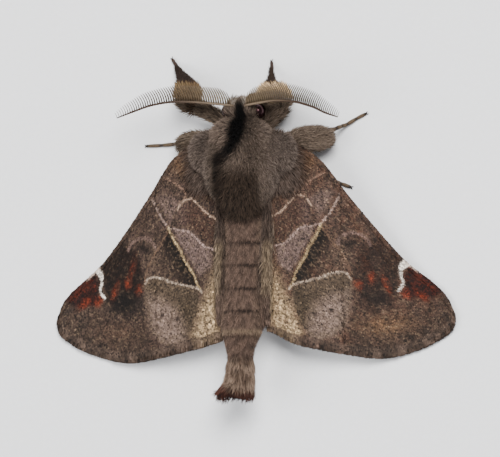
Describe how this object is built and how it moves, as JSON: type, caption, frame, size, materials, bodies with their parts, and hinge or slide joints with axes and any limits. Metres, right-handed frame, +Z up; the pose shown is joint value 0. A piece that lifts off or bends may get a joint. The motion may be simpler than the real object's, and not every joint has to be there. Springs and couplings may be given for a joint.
{
  "type": "clostera ornata",
  "caption": "A resting grey-brown moth with banded roof-like wings, woolly thorax, combed feelers and a raised tail tuft",
  "frame": {"origin": "on the floor, under the middle of the outline", "axes": "+X on the moth's own left, across the wings; -Y the way the head looks; +Z up"},
  "size_m": [0.03, 0.0253, 0.0065],
  "materials": {
    "coat": "woolly",
    "wing": "scaly",
    "feeler": "matt",
    "leg": "hairy",
    "eye": "gloss"
  },
  "bodies": {
    "root": {"thorax": "coat", "head": "coat", "eye_left": "eye", "eye_right": "eye", "palp_right": "coat", "palp_left": "coat", "antenna_left": "feeler", "antenna_right": "feeler", "abdomen": "coat", "tail_tuft": "coat", "forewing_left": "wing", "forewing_right": "wing", "hindwing_left": "wing", "hindwing_right": "wing", "thigh_fore_left": "leg", "thigh_fore_right": "leg", "thigh_mid_left": "leg", "thigh_mid_right": "leg", "thigh_hind_left": "leg", "thigh_hind_right": "leg", "shin_fore_left": "leg", "shin_fore_right": "leg", "shin_mid_left": "leg", "shin_mid_right": "leg", "shin_hind_left": "leg", "shin_hind_right": "leg"}
  },
  "joints": []
}
